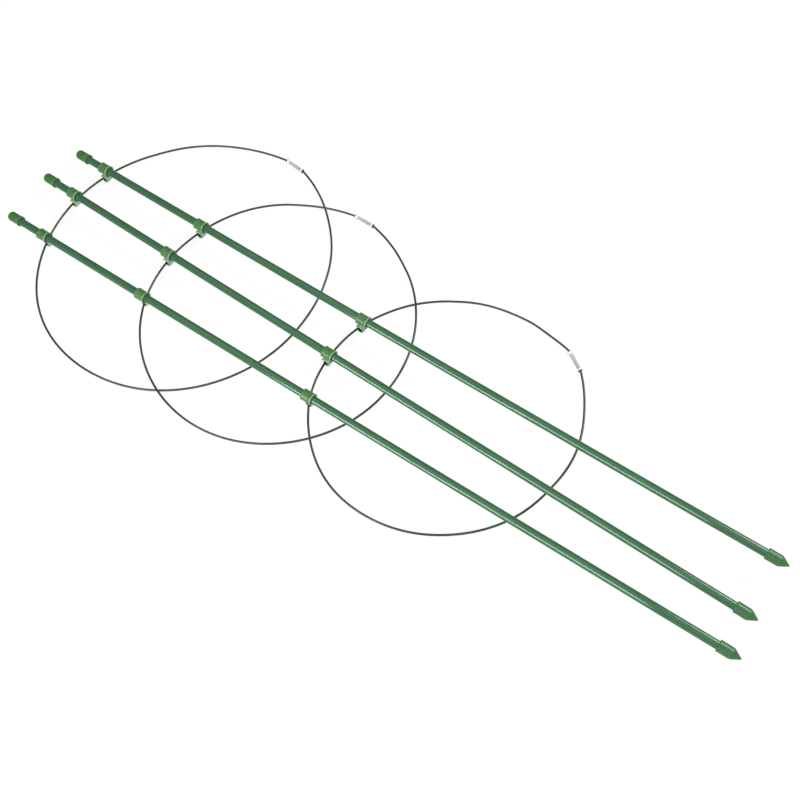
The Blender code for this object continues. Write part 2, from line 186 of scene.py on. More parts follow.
# Soft bends where a ring's wire leaves its circle: angle from the joint, height outward and spread
BENDS = {
    "1": (
        (155.0, 1.8 * MM, 45.0), (-148.0, 0.7 * MM, 40.0), (-54.0, 2.3 * MM, 28.0), (20.0, -1.8 * MM, 30.0),
    ),
    "2": (
        (155.0, -1.1 * MM, 45.0), (-104.0, 0.9 * MM, 40.0), (44.0, 1.9 * MM, 40.0), (-55.0, -0.4 * MM, 25.0),
    ),
    "3": (
        (-113.0, -5.0 * MM, 57.0), (-150.0, -1.0 * MM, 30.0), (-44.0, 2.6 * MM, 28.0),
        (52.0, 1.8 * MM, 26.0), (92.0, -0.7 * MM, 20.0), (145.0, 0.9 * MM, 25.0), (15.0, -1.2 * MM, 11.0),
    ),
}

# Fineness of the meshes
ROUND_STEPS = 48
WIRE_SIDES = 16
RING_STEPS = 240
FILLET_STEPS = 4
HOOK_STEPS = 40
SECTION_STEPS = 24
STAKE_STEPS = 90
SMOOTH_ANGLE = math.radians(32.0)
MERGE_DISTANCE = 0.002 * MM

# Noises of the surfaces: scale along X, Y and Z, scale of all, detail and distortion
COAT_LINES = ((1.0, 1.0, 0.012), 1400.0, 3.0, 0.0)
COAT_PATCHES = ((1.0, 1.0, 0.35), 60.0, 4.0, 0.4)
COAT_GRAIN = ((1.0, 1.0, 1.0), 2200.0, 2.0, 0.0)
END_FLOW = ((1.0, 1.0, 0.5), 260.0, 4.0, 1.2)
CLIP_FLOW = ((0.5, 1.0, 1.0), 320.0, 4.0, 1.2)
MOULDED_GRAIN = ((1.0, 1.0, 1.0), 1800.0, 2.0, 0.0)
WIRE_STRETCHES = ((1.0, 1.0, 1.0), 14.0, 3.0, 0.0)
WIRE_GRAIN = ((1.0, 1.0, 1.0), 1500.0, 3.0, 0.0)
SLEEVE_LINES = ((1.0, 1.0, 0.06), 900.0, 2.0, 0.0)
STEEL_LINES = ((1.0, 0.02, 1.0), 900.0, 3.0, 0.0)

# Bumps of the surfaces: strength and depth
COAT_LINE_BUMP = (0.25, 0.05 * MM)
COAT_GRAIN_BUMP = (0.06, 0.03 * MM)
FLOW_BUMP = (0.1, 0.1 * MM)
MOULDED_GRAIN_BUMP = (0.15, 0.03 * MM)
WIRE_BUMP = (0.2, 0.03 * MM)
SLEEVE_BUMP = (0.15, 0.05 * MM)

# Roughness of the surfaces, from their glossy to their dull places
COAT_ROUGHNESS = (0.06, 0.11)
CLIP_ROUGHNESS = (0.3, 0.46)
WIRE_ROUGHNESS = (0.3, 0.48)
SLEEVE_ROUGHNESS = (0.18, 0.34)
STEEL_ROUGHNESS = (0.28, 0.45)

# Colours of the surfaces: each stop's place on the ramp and its colour
COAT_STREAK_TONES = ((0.3, (0.019, 0.066, 0.029)), (0.7, (0.030, 0.094, 0.044)))
COAT_PATCH_TONES = ((0.35, (0.018, 0.061, 0.026)), (0.65, (0.029, 0.088, 0.040)))
CLIP_TONES = ((0.3, (0.026, 0.085, 0.018)), (0.7, (0.045, 0.128, 0.032)))
# Painted light of the clips: lighter tones on rim, web and hook, as light through the thin plastic and on its
# edges
CLIP_PAINTED_LIGHT_TONES = ((0.3, (0.140, 0.250, 0.150)), (0.7, (0.235, 0.370, 0.245)))
# Wire coat: browner and dark green tones of its own, and a greener stop that is painted glints
WIRE_TONES_AND_GLINTS = (
    (0.34, (0.010, 0.013, 0.007)), (0.5, (0.009, 0.026, 0.010)), (0.64, (0.011, 0.056, 0.022)),
)
WIRE_SPECKS = ((0.4, (0.006, 0.009, 0.005)), (0.8, (0.016, 0.042, 0.018)))
SLEEVE_LILAC = ((0.3, (0.235, 0.228, 0.262)), (0.7, (0.37, 0.358, 0.395)))
# Painted highlight on the sleeves' flared ends
SLEEVE_HIGHLIGHT_TONES = ((0.3, (0.50, 0.50, 0.51)), (0.7, (0.64, 0.64, 0.64)))
STEEL_TONES = ((0.3, (0.42, 0.42, 0.43)), (0.7, (0.58, 0.58, 0.59)))
# Painted shade on the sleeves' lips, as a dark outline of the flared ends
SLEEVE_LIP_SHADE_COLOUR = (0.15, 0.15, 0.16)
# Painted shade inside a hook's eye
EYE_SHADE_COLOUR = (0.010, 0.024, 0.013)
GLOSS_TINT = (0.74, 1.0, 0.82, 1.0)
# Shares of the second colour where two ramps are mixed
COAT_PATCH_SHARE = 0.4
WIRE_SPECK_SHARE = 0.25

# Caps and tips: tones, the colour of their painted light, the heights where the painted light begins and is
# full, and roughness
END_LOOKS = {
    "cap": {
        "tones": ((0.3, (0.024, 0.078, 0.019)), (0.7, (0.037, 0.110, 0.025))),
        "painted_light_colour": (0.042, 0.120, 0.036),
        "painted_light_heights": (10.0 * MM, 17.0 * MM),
        "roughness": (0.32, 0.44),
    },
    "tip": {
        "tones": ((0.3, (0.022, 0.074, 0.026)), (0.7, (0.035, 0.106, 0.036))),
        "painted_light_colour": (0.038, 0.130, 0.026),
        "painted_light_heights": (-9.0 * MM, 0.0),
        "roughness": (0.3, 0.42),
    },
}
# Distance from the stake's axis over which a clip's painted light comes in, and from its eye's over which its
# painted shade comes in
CLIP_PAINTED_LIGHT_FADE = (COLLAR_RADIUS + 0.3 * MM, COLLAR_RIM_RADIUS)
CLIP_EYE_SHADE_FADE = (EYE_RADIUS + 0.35 * MM, EYE_RADIUS + 0.15 * MM)
# Distance from the middle of a sleeve over which the painted highlight of its ends comes in
SLEEVE_HIGHLIGHT_FADE = (
    SLEEVE_LENGTH / 2 - SLEEVE_FLARE_LENGTH - 1.0 * MM,
    SLEEVE_LENGTH / 2 - SLEEVE_FLARE_LENGTH,
)

# Values of the shaders
COAT_IOR = 1.5
SLEEVE_IOR = 1.4
SLEEVE_OPACITY = 0.93
MOULDED_SKIN = {
    "IOR": 1.46,
    "Subsurface Weight": 0.1,
    "Subsurface Radius": (0.3, 1.0, 0.3),
    "Subsurface Scale": 1.0 * MM,
}
# Gloss of coat, caps and tips: how far the surface turns away, and the gloss at both ends of that range
TURNING_BLEND = 0.5
TURNING_RANGE = (0.3, 0.6)
TURNING_GLOSS = (0.5, 0.05)

# Sockets of a colour mix: its share, its two colours and its result
MIX_SHARE = 0
MIX_FIRST = 6
MIX_SECOND = 7
MIX_RESULT = 2

# Studio: floor, surroundings, and each light's place, size and power
WHITE = (1.0, 1.0, 1.0, 1.0)
FLOOR_REACH = 6.0
FLOOR_COLOUR = (0.86, 0.86, 0.86, 1.0)
FLOOR_WHITE_SHARE = 0.88
WORLD_LEVEL = 0.45
LIGHTS = {
    "overhead": ((0.0, -0.2, 2.2), (3.4, 2.8), 25.0),
    "middle_streak": ((-0.3, -1.12, 0.33), (0.46, 0.46), 11.0),
    "late_streak": ((0.12, -1.15, 0.62), (0.5, 0.6), 11.5),
    "far_streak": ((0.7, 0.92, 0.85), (0.7, 0.5), 18.0),
    "front_fill": ((1.3, -0.9, 1.1), (0.9, 0.9), 2.0),
}

# Camera that fits the photograph
SENSOR_WIDTH = 36.0
CAMERA_LENS = 44.337
CAMERA_PLACE = (0.36905, -0.360344, 0.890698)
CAMERA_FORWARD = (-0.312156, 0.34505, -0.885155)
CAMERA_RIGHT = (0.811447, 0.581387, -0.059527)


# Mesh helpers


def filleted(corners):
    """Rounds the corners of a profile: each corner is (radius, height, fillet) with 0 for a sharp one."""
    points = []
    count = len(corners)
    for index, (radius, height, fillet) in enumerate(corners):
        corner = Vector((radius, height))
        before = Vector(corners[index - 1][:2])
        after = Vector(corners[(index + 1) % count][:2])
        if fillet <= 0.0:
            points.append(tuple(corner))
            continue
        start = corner + (before - corner).normalized() * fillet
        end = corner + (after - corner).normalized() * fillet
        for step in range(FILLET_STEPS + 1):
            share = step / FILLET_STEPS
            bend = start * (1 - share) ** 2 + corner * 2 * share * (1 - share) + end * share**2
            points.append(tuple(bend))
    return points


def circle_row(shape, radius, height):
    """One row of a turned profile: a circle, or a single point on the axis."""
    if radius < MERGE_DISTANCE:
        return [shape.verts.new((0.0, 0.0, height))]
    return [
        shape.verts.new((
            radius * math.cos(math.tau * step / ROUND_STEPS),
            radius * math.sin(math.tau * step / ROUND_STEPS),
            height,
        ))
        for step in range(ROUND_STEPS)
    ]


def turned(name, points, closed):
    """Turns a profile round Z into a smooth mesh object."""
    shape = bmesh.new()
    rows = [circle_row(shape, radius, height) for radius, height in points]
    pairs = list(zip(rows, rows[1:]))
    if closed:
        pairs.append((rows[-1], rows[0]))
    for upper, lower in pairs:
        for step in range(ROUND_STEPS):
            after = (step + 1) % ROUND_STEPS
            corners = [
                upper[step % len(upper)], lower[step % len(lower)],
                lower[after % len(lower)], upper[after % len(upper)],
            ]
            corners = list(dict.fromkeys(corners))
            if len(corners) > 2:
                shape.faces.new(corners)
    bmesh.ops.recalc_face_normals(shape, faces=shape.faces)
    return finished(name, shape)


def swept(name, path, sections):
    """Sweeps one section per point of a path, with both ends closed."""
    shape = bmesh.new()
    rows = [[shape.verts.new(point) for point in section] for section in sections]
    count = len(rows[0])
    for first, second in zip(rows, rows[1:]):
        for step in range(count):
            after = (step + 1) % count
            shape.faces.new((first[step], first[after], second[after], second[step]))
    for row, point in ((rows[0], path[0]), (rows[-1], path[-1])):
        middle = shape.verts.new(point)
        for step in range(count):
            shape.faces.new((row[step], row[(step + 1) % count], middle))
    bmesh.ops.recalc_face_normals(shape, faces=shape.faces)
    return finished(name, shape)


def filled(mesh, shape):
    """Moves a bmesh into a mesh, smooth-shaded with sharp creases."""
    shape.to_mesh(mesh)
    shape.free()
    mesh.shade_smooth()
    mesh.set_sharp_from_angle(angle=SMOOTH_ANGLE)
    return mesh


def linked(name, data):
    """A new object in the scene."""
    thing = bpy.data.objects.new(name, data)
    bpy.context.scene.collection.objects.link(thing)
    return thing


def finished(name, shape):
    """Turns a bmesh into an object in the scene."""
    return linked(name, filled(bpy.data.meshes.new(name), shape))


def united(name, pieces):
    """Joins solids into one closed mesh with exact Booleans."""
    base = pieces[0]
    for other in pieces[1:]:
        union = base.modifiers.new(other.name, "BOOLEAN")
        union.operation = "UNION"
        union.solver = "EXACT"
        union.object = other
    bpy.context.view_layer.update()
    depsgraph = bpy.context.evaluated_depsgraph_get()
    mesh = bpy.data.meshes.new_from_object(base.evaluated_get(depsgraph))
    mesh.name = name
    mesh.materials.clear()
    for piece in pieces:
        bpy.data.objects.remove(piece, do_unlink=True)
    shape = bmesh.new()
    shape.from_mesh(mesh)
    bmesh.ops.remove_doubles(shape, verts=shape.verts, dist=MERGE_DISTANCE)
    return filled(mesh, shape)


def axes_matrix(x, y, z, origin):
    """Matrix with its three axes and its origin as given."""
    matrix = Matrix((x, y, z)).transposed().to_4x4()
    matrix.translation = origin
    return matrix


def frame_matrix(origin, z_axis, x_hint):
    """Matrix with its origin at a point, its Z axis along a line and its X axis near a hint."""
    z = Vector(z_axis).normalized()
    y = z.cross(Vector(x_hint)).normalized()
    return axes_matrix(y.cross(z), y, z, origin)


# Material helpers


def new_material(name):
    """An empty material with its node tree and its Principled shader."""
    material = bpy.data.materials.new(name)
    material.use_nodes = True
    tree = material.node_tree
    return material, tree, tree.nodes["Principled BSDF"]


def feed(tree, node, inputs):
    """Links a node's inputs to other nodes' outputs, or gives them plain values."""
    for name, value in inputs.items():
        if isinstance(value, bpy.types.NodeSocket):
            tree.links.new(value, node.inputs[name])
        else:
            node.inputs[name].default_value = value


def added(tree, kind, inputs, output=0, **settings):
    """Adds a node, feeds it, and returns one of its outputs."""
    node = tree.nodes.new(kind)
    for key, value in settings.items():
        setattr(node, key, value)
    feed(tree, node, inputs)
    return node.outputs[output]


def local_place(tree):
    """A surface point's place in the piece's own coordinates."""
    return added(tree, "ShaderNodeTexCoord", {}, "Object")


def local_height(tree):
    """A surface point's height along the piece's own Z axis."""
    return added(tree, "ShaderNodeSeparateXYZ", {"Vector": local_place(tree)}, "Z")


def local_distance(tree, shift, scale):
    """A surface point's distance from an axis: the scale drops the axis's direction, the shift centres it."""
    offset = added(tree, "ShaderNodeMapping", {
        "Vector": local_place(tree),
        "Location": shift,
        "Scale": scale,
    })
    return added(tree, "ShaderNodeVectorMath", {"Vector": offset}, "Value", operation="LENGTH")


def noise(tree, pattern):
    """A noise in the piece's own coordinates, stretched along its axes."""
    stretch, scale, detail, distortion = pattern
    place = added(tree, "ShaderNodeMapping", {"Vector": local_place(tree), "Scale": stretch})
    return added(tree, "ShaderNodeTexNoise", {
        "Vector": place,
        "Scale": scale,
        "Detail": detail,
        "Distortion": distortion,
    }, "Fac")


def ramp(tree, value, stops):
    """A colour ramp through (place, colour) stops."""
    node = tree.nodes.new("ShaderNodeValToRGB")
    elements = node.color_ramp.elements
    while len(elements) < len(stops):
        elements.new(stops[len(elements) - 1][0])
    for element, (place, colour) in zip(elements, stops):
        element.position = place
        element.color = (*colour, 1.0)
    feed(tree, node, {"Fac": value})
    return node.outputs["Color"]


def mixed(tree, share, first, second):
    """Mixes two colours by a share; the second one may be a plain colour."""
    if isinstance(second, tuple):
        second = (*second, 1.0)
    inputs = {MIX_SHARE: share, MIX_FIRST: first, MIX_SECOND: second}
    return added(tree, "ShaderNodeMix", inputs, MIX_RESULT, data_type="RGBA")


def mapped(tree, value, to_range=(0.0, 1.0), from_range=(0.0, 1.0)):
    """Maps a value from one range to another and keeps it inside that."""
    return added(tree, "ShaderNodeMapRange", {
        "Value": value,
        "From Min": from_range[0],
        "From Max": from_range[1],
        "To Min": to_range[0],
        "To Max": to_range[1],
    }, "Result")


def bump(tree, height, relief, below=None):
    """A bump of a strength and depth, on top of another one where that is given."""
    strength, depth = relief
    inputs = {"Height": height, "Strength": strength, "Distance": depth}
    if below is not None:
        inputs["Normal"] = below
    return added(tree, "ShaderNodeBump", inputs, "Normal")


def tinted_gloss(tree, shader):
    """Green-tinted gloss, less where the surface turns away from the eye."""
    turning = added(tree, "ShaderNodeLayerWeight", {"Blend": TURNING_BLEND}, "Facing")
    feed(tree, shader, {
        "Specular Tint": GLOSS_TINT,
        "Specular IOR Level": mapped(tree, turning, TURNING_GLOSS, TURNING_RANGE),
    })


def moulded_skin(tree, shader, flow, colour, roughness):
    """Colour, flow marks, fine grain and the soft depth of moulded plastic."""
    normal = bump(tree, flow, FLOW_BUMP)
    normal = bump(tree, noise(tree, MOULDED_GRAIN), MOULDED_GRAIN_BUMP, normal)
    feed(tree, shader, {
        "Base Color": colour,
        "Roughness": mapped(tree, flow, roughness),
        "Normal": normal,
        **MOULDED_SKIN,
    })


# Materials


def coated_stake_material():
    """Satin green coat with fine drawn lines along the stake and a few duller stretches."""
    material, tree, shader = new_material("stake_coat")
    lines = noise(tree, COAT_LINES)
    patches = noise(tree, COAT_PATCHES)
    streaks = ramp(tree, lines, COAT_STREAK_TONES)
    dull = ramp(tree, patches, COAT_PATCH_TONES)
    normal = bump(tree, lines, COAT_LINE_BUMP)
    normal = bump(tree, noise(tree, COAT_GRAIN), COAT_GRAIN_BUMP, normal)
    feed(tree, shader, {
        "Base Color": mixed(tree, COAT_PATCH_SHARE, streaks, dull),
        "Roughness": mapped(tree, patches, COAT_ROUGHNESS),
        "Normal": normal,
        "IOR": COAT_IOR,
    })
    tinted_gloss(tree, shader)
    return material


def end_material(name, tones, painted_light_colour, painted_light_heights, roughness):
    """Moulded plastic of caps or tips, with painted light along the piece's Z axis from one height to
    another.
    """
    material, tree, shader = new_material(name)
    flow = noise(tree, END_FLOW)
    # Painted light: lighter towards a cap's rim and towards a tip's point
    share = mapped(tree, local_height(tree), from_range=painted_light_heights)
    moulded_skin(tree, shader, flow, mixed(tree, share, ramp(tree, flow, tones), painted_light_colour), roughness)
    tinted_gloss(tree, shader)
    return material


def clip_material(name, capward):
    """Moulded green of the clips, with painted light on rim, web and hook, as light through the thin plastic
    and on its edges, and painted shade inside the hook's eye.
    """
    material, tree, shader = new_material(name)
    flow = noise(tree, CLIP_FLOW)
    from_stake = local_distance(tree, (0.0, 0.0, -HOOK_DEPTH), (0.0, 1.0, 1.0))
    from_eye = local_distance(tree, (capward, 0.0, 0.0), (1.0, 0.0, 1.0))
    # Painted light on rim, web and hook, away from the collar
    painted_light_share = mapped(tree, from_stake, from_range=CLIP_PAINTED_LIGHT_FADE)
    # Painted shade inside the hook's eye, round its middle
    eye_shade = mapped(tree, from_eye, from_range=CLIP_EYE_SHADE_FADE)
    plastic = mixed(tree, painted_light_share, ramp(tree, flow, CLIP_TONES), ramp(tree, flow, CLIP_PAINTED_LIGHT_TONES))
    moulded_skin(tree, shader, flow, mixed(tree, eye_shade, plastic, EYE_SHADE_COLOUR), CLIP_ROUGHNESS)
    return material


def wire_material():
    """Dark green coat on wire, with browner stretches, and greener stretches painted as glints round the
    ring.
    """
    material, tree, shader = new_material("wire_coat")
    grain = noise(tree, WIRE_GRAIN)
    tone_and_glint = ramp(tree, noise(tree, WIRE_STRETCHES), WIRE_TONES_AND_GLINTS)
    speck = ramp(tree, grain, WIRE_SPECKS)
    feed(tree, shader, {
        "Base Color": mixed(tree, WIRE_SPECK_SHARE, tone_and_glint, speck),
        "Roughness": mapped(tree, grain, WIRE_ROUGHNESS),
        "Normal": bump(tree, grain, WIRE_BUMP),
    })
    return material


def sleeve_material():
    """Milky lilac tube with faint drawn lines, a painted highlight on its ends and painted shade on its lips.
    """
    material, tree, shader = new_material("sleeve_plastic")
    lines = noise(tree, SLEEVE_LINES)
    away = added(tree, "ShaderNodeMath", {0: local_height(tree)}, operation="ABSOLUTE")
    lip_start = SLEEVE_LENGTH / 2 - SLEEVE_LIP
    # Painted shade on the lips at both ends
    lip_shade = added(tree, "ShaderNodeMath", {0: away, 1: lip_start}, operation="GREATER_THAN")
    # Painted highlight on both ends of the sleeve
    ends = mapped(tree, away, from_range=SLEEVE_HIGHLIGHT_FADE)
    tube = mixed(tree, ends, ramp(tree, lines, SLEEVE_LILAC), ramp(tree, lines, SLEEVE_HIGHLIGHT_TONES))
    feed(tree, shader, {
        "Base Color": mixed(tree, lip_shade, tube, SLEEVE_LIP_SHADE_COLOUR),
        "Roughness": mapped(tree, lines, SLEEVE_ROUGHNESS),
        "Normal": bump(tree, lines, SLEEVE_BUMP),
        "IOR": SLEEVE_IOR,
        "Alpha": SLEEVE_OPACITY,
    })
    return material


def steel_material():
    """Drawn steel of the tubes inside the coats."""
    material, tree, shader = new_material("core_steel")
    lines = noise(tree, STEEL_LINES)
    feed(tree, shader, {
        "Base Color": ramp(tree, lines, STEEL_TONES),
        "Roughness": mapped(tree, lines, STEEL_ROUGHNESS),
        "Metallic": 1.0,
    })
    return material


def floor_material():
    """White to the camera and in reflections, with the object's shadow kept on it."""
    material, tree, shader = new_material("floor_white")
    tree.nodes.remove(shader)
    rays = tree.nodes.new("ShaderNodeLightPath")
    seen = rays.outputs["Is Camera Ray"]
    for ray in ("Is Glossy Ray", "Is Transmission Ray"):
        seen = added(tree, "ShaderNodeMath", {0: seen, 1: rays.outputs[ray]}, operation="MAXIMUM")
    share = added(tree, "ShaderNodeMath", {0: seen, 1: FLOOR_WHITE_SHARE}, operation="MULTIPLY")
    shadowed = added(tree, "ShaderNodeBsdfDiffuse", {"Color": FLOOR_COLOUR})
    white = added(tree, "ShaderNodeEmission", {"Strength": 1.0})
    surface = added(tree, "ShaderNodeMixShader", {0: share, 1: shadowed, 2: white})
    feed(tree, tree.nodes["Material Output"], {"Surface": surface})
    return material


# Pieces


def dress(piece, matrix, material, body, slot, *nodes):
    """Puts a piece in place on its body, in place of its solids."""
    piece.matrix_world = matrix
    if not piece.data.materials:
        piece.data.materials.append(material)
    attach(piece, body)
    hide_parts(*nodes)


def cap_points():
    """Blunt cap with a rounded crown, the shallow mark of its gate, and a rim."""
    rim_start = CAP_LENGTH - CAP_RIM_LENGTH
    return filleted([
        (0.0, CAP_CROWN, 0.0),
        (SOCKET_RADIUS, CAP_CROWN, 0.0),
        (SOCKET_RADIUS, CAP_LENGTH, EDGE_FILLET),
        (CAP_RIM_RADIUS, CAP_LENGTH, LIP_FILLET),
        (CAP_RIM_RADIUS, rim_start, EDGE_FILLET),
        (CAP_RADIUS, rim_start - CAP_RIM_SLOPE, RIM_FILLET),
        (CAP_RADIUS, CAP_ROUNDING, CAP_ROUNDING_FILLET),
        (CAP_RADIUS - CAP_ROUNDING_MIDDLE, CAP_ROUNDING_MIDDLE, CAP_MIDDLE_FILLET),
        (CAP_RADIUS - CAP_ROUNDING, 0.0, CAP_ROUNDING_FILLET),
        (GATE_RADIUS, 0.0, EDGE_FILLET),
        (GATE_FLOOR_RADIUS, GATE_DEPTH, EDGE_FILLET),
        (0.0, GATE_DEPTH, 0.0),
    ])


def tip_points():
    """Pointed tip with a blunt nose, a rounded shoulder and a thin rim."""
    slope = math.atan2(TIP_RADIUS, TIP_CONE_LENGTH)
    nose = []
    for step in range(FILLET_STEPS + 1):
        angle = math.pi / 2 - (math.pi / 2 - slope) * step / FILLET_STEPS
        nose.append((TIP_NOSE_RADIUS * math.cos(angle), TIP_NOSE_RADIUS * (math.sin(angle) - 1.0), 0.0))
    rim_start = -TIP_LENGTH + TIP_RIM_LENGTH
    socket_end = -TIP_CONE_LENGTH - TIP_FLOOR
    return filleted([
        *nose,
        (TIP_RADIUS, -TIP_CONE_LENGTH, TIP_SHOULDER_FILLET),
        (TIP_RADIUS, rim_start + TIP_RIM_SLOPE, EDGE_FILLET),
        (TIP_RIM_RADIUS, rim_start, TIP_RIM_FILLET),
        (TIP_RIM_RADIUS, -TIP_LENGTH, EDGE_FILLET),
        (SOCKET_RADIUS, -TIP_LENGTH, EDGE_FILLET),
        (SOCKET_RADIUS, socket_end, 0.0),
        (0.0, socket_end, 0.0),
    ])


def tube_points(length, radius, wall):
    """Outer skin, ends and bore of a stake's coat or core."""
    start = CAP_CROWN + RUNNING_GAP
    end = length - TIP_CONE_LENGTH - TIP_FLOOR - RUNNING_GAP
    heights = [end + (start - end) * step / STAKE_STEPS for step in range(STAKE_STEPS + 1)]
    outer = [(radius, height) for height in heights]
    inner = [(radius - wall, height) for height in reversed(heights)]
    return outer + inner


def bowed(stake, height):
    """How far a stake lies off its straight line, towards -Y, at a height above its cap's crown."""
    share = 2.0 * height / STAKE_LENGTH - 1.0
    return BOWS[stake] * (1.0 - share**2)


def bowed_tube(name, stake, length, radius, wall):
    """A stake's coat or core, bent to the bow of its stake."""
    tube = turned(name, tube_points(length, radius, wall), closed=True)
    for vertex in tube.data.vertices:
        vertex.co.y -= bowed(stake, vertex.co.z)
    return tube


def collar_points():
    """Collar with a rim at the tip side, a groove, a barrel and a bead at the cap side."""
    half = COLLAR_LENGTH / 2
    groove = half - COLLAR_GROOVE_PLACE
    bead_radius = COLLAR_RADIUS + COLLAR_BEAD_RISE
    return filleted([
        (COLLAR_RIM_RADIUS, half, RIM_FILLET),
        (COLLAR_RIM_RADIUS, half - COLLAR_RIM_LENGTH, RIM_FILLET),
        (COLLAR_RADIUS, half - COLLAR_RIM_FOOT, EDGE_FILLET),
        (COLLAR_RADIUS, groove + COLLAR_GROOVE_DEPTH, GROOVE_FILLET),
        (COLLAR_RADIUS - COLLAR_GROOVE_DEPTH, groove, GROOVE_FILLET),
        (COLLAR_RADIUS, groove - COLLAR_GROOVE_DEPTH, GROOVE_FILLET),
        (COLLAR_RADIUS, -half + COLLAR_BEAD_FOOT, GROOVE_FILLET),
        (bead_radius, -half + COLLAR_BEAD_LENGTH, BEAD_FILLET),
        (bead_radius, -half, LIP_FILLET),
        (SOCKET_RADIUS, -half, EDGE_FILLET),
        (SOCKET_RADIUS, half, EDGE_FILLET),
    ])


def sleeve_points():
    """Sleeve with a slightly waisted body and two flared ends with round lips."""
    half = SLEEVE_LENGTH / 2
    waist = half - SLEEVE_FLARE_LENGTH
    upper = [
        (SLEEVE_BORE, half, EDGE_FILLET),
        (SLEEVE_FLARE_RADIUS, half, LIP_FILLET),
        (SLEEVE_FLARE_RADIUS, waist + SLEEVE_FLARE_EDGE, FLARE_FILLET),
        (SLEEVE_RADIUS - SLEEVE_WAIST_DEPTH, waist - SLEEVE_WAIST_START, FLARE_FILLET),
        (SLEEVE_RADIUS, waist - SLEEVE_WAIST_END, WAIST_FILLET),
    ]
    lower = [(radius, -height, fillet) for radius, height, fillet in reversed(upper)]
    return filleted(upper + lower)


def squared(value):
    """A cosine or sine pushed outward, so that a circle turns into a rounded square."""
    return math.copysign(abs(value) ** SECTION_ROUNDNESS, value)


def hook_piece(width):
    """C-shaped hook round the clip's origin, with ends that thin out at its mouth."""
    bar_radius = EYE_RADIUS + HOOK_WALL / 2
    half_mouth = math.asin(HOOK_MOUTH / 2 / EYE_RADIUS)
    path = []
    sections = []
    for step in range(HOOK_STEPS + 1):
        angle = HOOK_MOUTH_ANGLE + half_mouth + (math.tau - 2 * half_mouth) * step / HOOK_STEPS
        outward = Vector((math.cos(angle), 0.0, math.sin(angle)))
        from_end = min(step, HOOK_STEPS - step)
        slim = HOOK_END_SHARES[from_end] if from_end < len(HOOK_END_SHARES) else 1.0
        middle = outward * bar_radius
        across = outward * slim * HOOK_WALL / 2
        along = Vector((0.0, slim * width / 2, 0.0))
        path.append(middle)
        sections.append([
            middle
            + across * squared(math.cos(math.tau * corner / SECTION_STEPS))
            + along * squared(math.sin(math.tau * corner / SECTION_STEPS))
            for corner in range(SECTION_STEPS)
        ])
    return swept("hook", path, sections)


def web_piece(capward, outward):
    """Block with rounded upright edges that joins a collar to its hook."""
    bottom = EYE_RADIUS + WEB_SKIN
    top = HOOK_DEPTH - SOCKET_RADIUS - WEB_SKIN
    shape = bmesh.new()
    bmesh.ops.create_cube(shape, size=1.0)
    bmesh.ops.scale(shape, verts=shape.verts, vec=(WEB_LENGTH, WEB_WIDTH, top - bottom))
    middle = (-capward / 2, -outward / 2, (bottom + top) / 2)
    bmesh.ops.translate(shape, verts=shape.verts, vec=middle)
    upright = [
        edge for edge in shape.edges
        if abs(edge.verts[0].co.z - edge.verts[1].co.z) > MERGE_DISTANCE
    ]
    bmesh.ops.bevel(shape, geom=upright, offset=WEB_BEVEL, segments=FILLET_STEPS, affect="EDGES")
    return finished("web", shape)


def clip_mesh(hook_width, capward, outward):
    """Clip with its collar along X, above the eye of its hook."""
    turn = Matrix.Rotation(math.pi / 2, 4, "Y")
    collar = turned("collar", collar_points(), closed=True)
    collar.data.transform(Matrix.Translation((COLLAR_LEAD, 0.0, HOOK_DEPTH)) @ turn)
    hook = hook_piece(hook_width)
    hook.data.transform(Matrix.Translation((-capward, -outward, 0.0)))
    return united("clip", [collar, hook, web_piece(capward, outward)])


def turn_from(angle, place):
    """Turn in degrees from a place on a ring to an angle in radians, between -180 and 180."""
    return (math.degrees(angle) - place + 180.0) % 360.0 - 180.0


def ring_reach(ring, angle):
    """Distance of the wire from the ring's centre, at an angle measured from the joint."""
    _, _, diameter, _, bulge, spread = RINGS[ring]
    reach = diameter / 2
    away = abs(math.degrees(angle)) / spread
    if away < 1.0:
        reach += bulge * (1.0 - away) ** BULGE_POWER
    for place, height, bend_spread in BENDS[ring]:
        away = abs(turn_from(angle, place)) / bend_spread
        if away < 1.0:
            reach += height * (1.0 + math.cos(math.pi * away)) / 2
    return reach


def ring_path(ring):
    """Points of a ring's wire in its plane, with the middle and direction of its joint."""
    joint = math.radians(RINGS[ring][3])
    half = SLEEVE_LENGTH / 2 + KINK_GAP
    bend = math.asin(half / ring_reach(ring, 0.0))

    def on_ring(angle):
        reach = ring_reach(ring, angle)
        return Vector((reach * math.cos(joint + angle), reach * math.sin(joint + angle), 0.0))

    middle = (on_ring(-bend) + on_ring(bend)) / 2
    direction = (on_ring(bend) - on_ring(-bend)).normalized()
    points = [middle + direction * WIRE_END_GAP / 2]
    for step in range(RING_STEPS + 1):
        angle = bend + (math.tau - 2 * bend) * step / RING_STEPS
        points.append(on_ring(angle if angle < math.pi else angle - math.tau))
    points.append(middle - direction * WIRE_END_GAP / 2)
    return points, middle, direction


def wire_piece(name, points):
    """A round wire through points that lie in one plane, with closed ends."""
    up = Vector((0.0, 0.0, 1.0))
    sections = []
    for index, point in enumerate(points):
        before = points[max(index - 1, 0)]
        after = points[min(index + 1, len(points) - 1)]
        side = (after - before).normalized().cross(up)
        sections.append([
            point + side * WIRE_RADIUS * math.cos(math.tau * step / WIRE_SIDES)
            + up * WIRE_RADIUS * math.sin(math.tau * step / WIRE_SIDES)
            for step in range(WIRE_SIDES)
        ])
    return swept(name, points, sections)


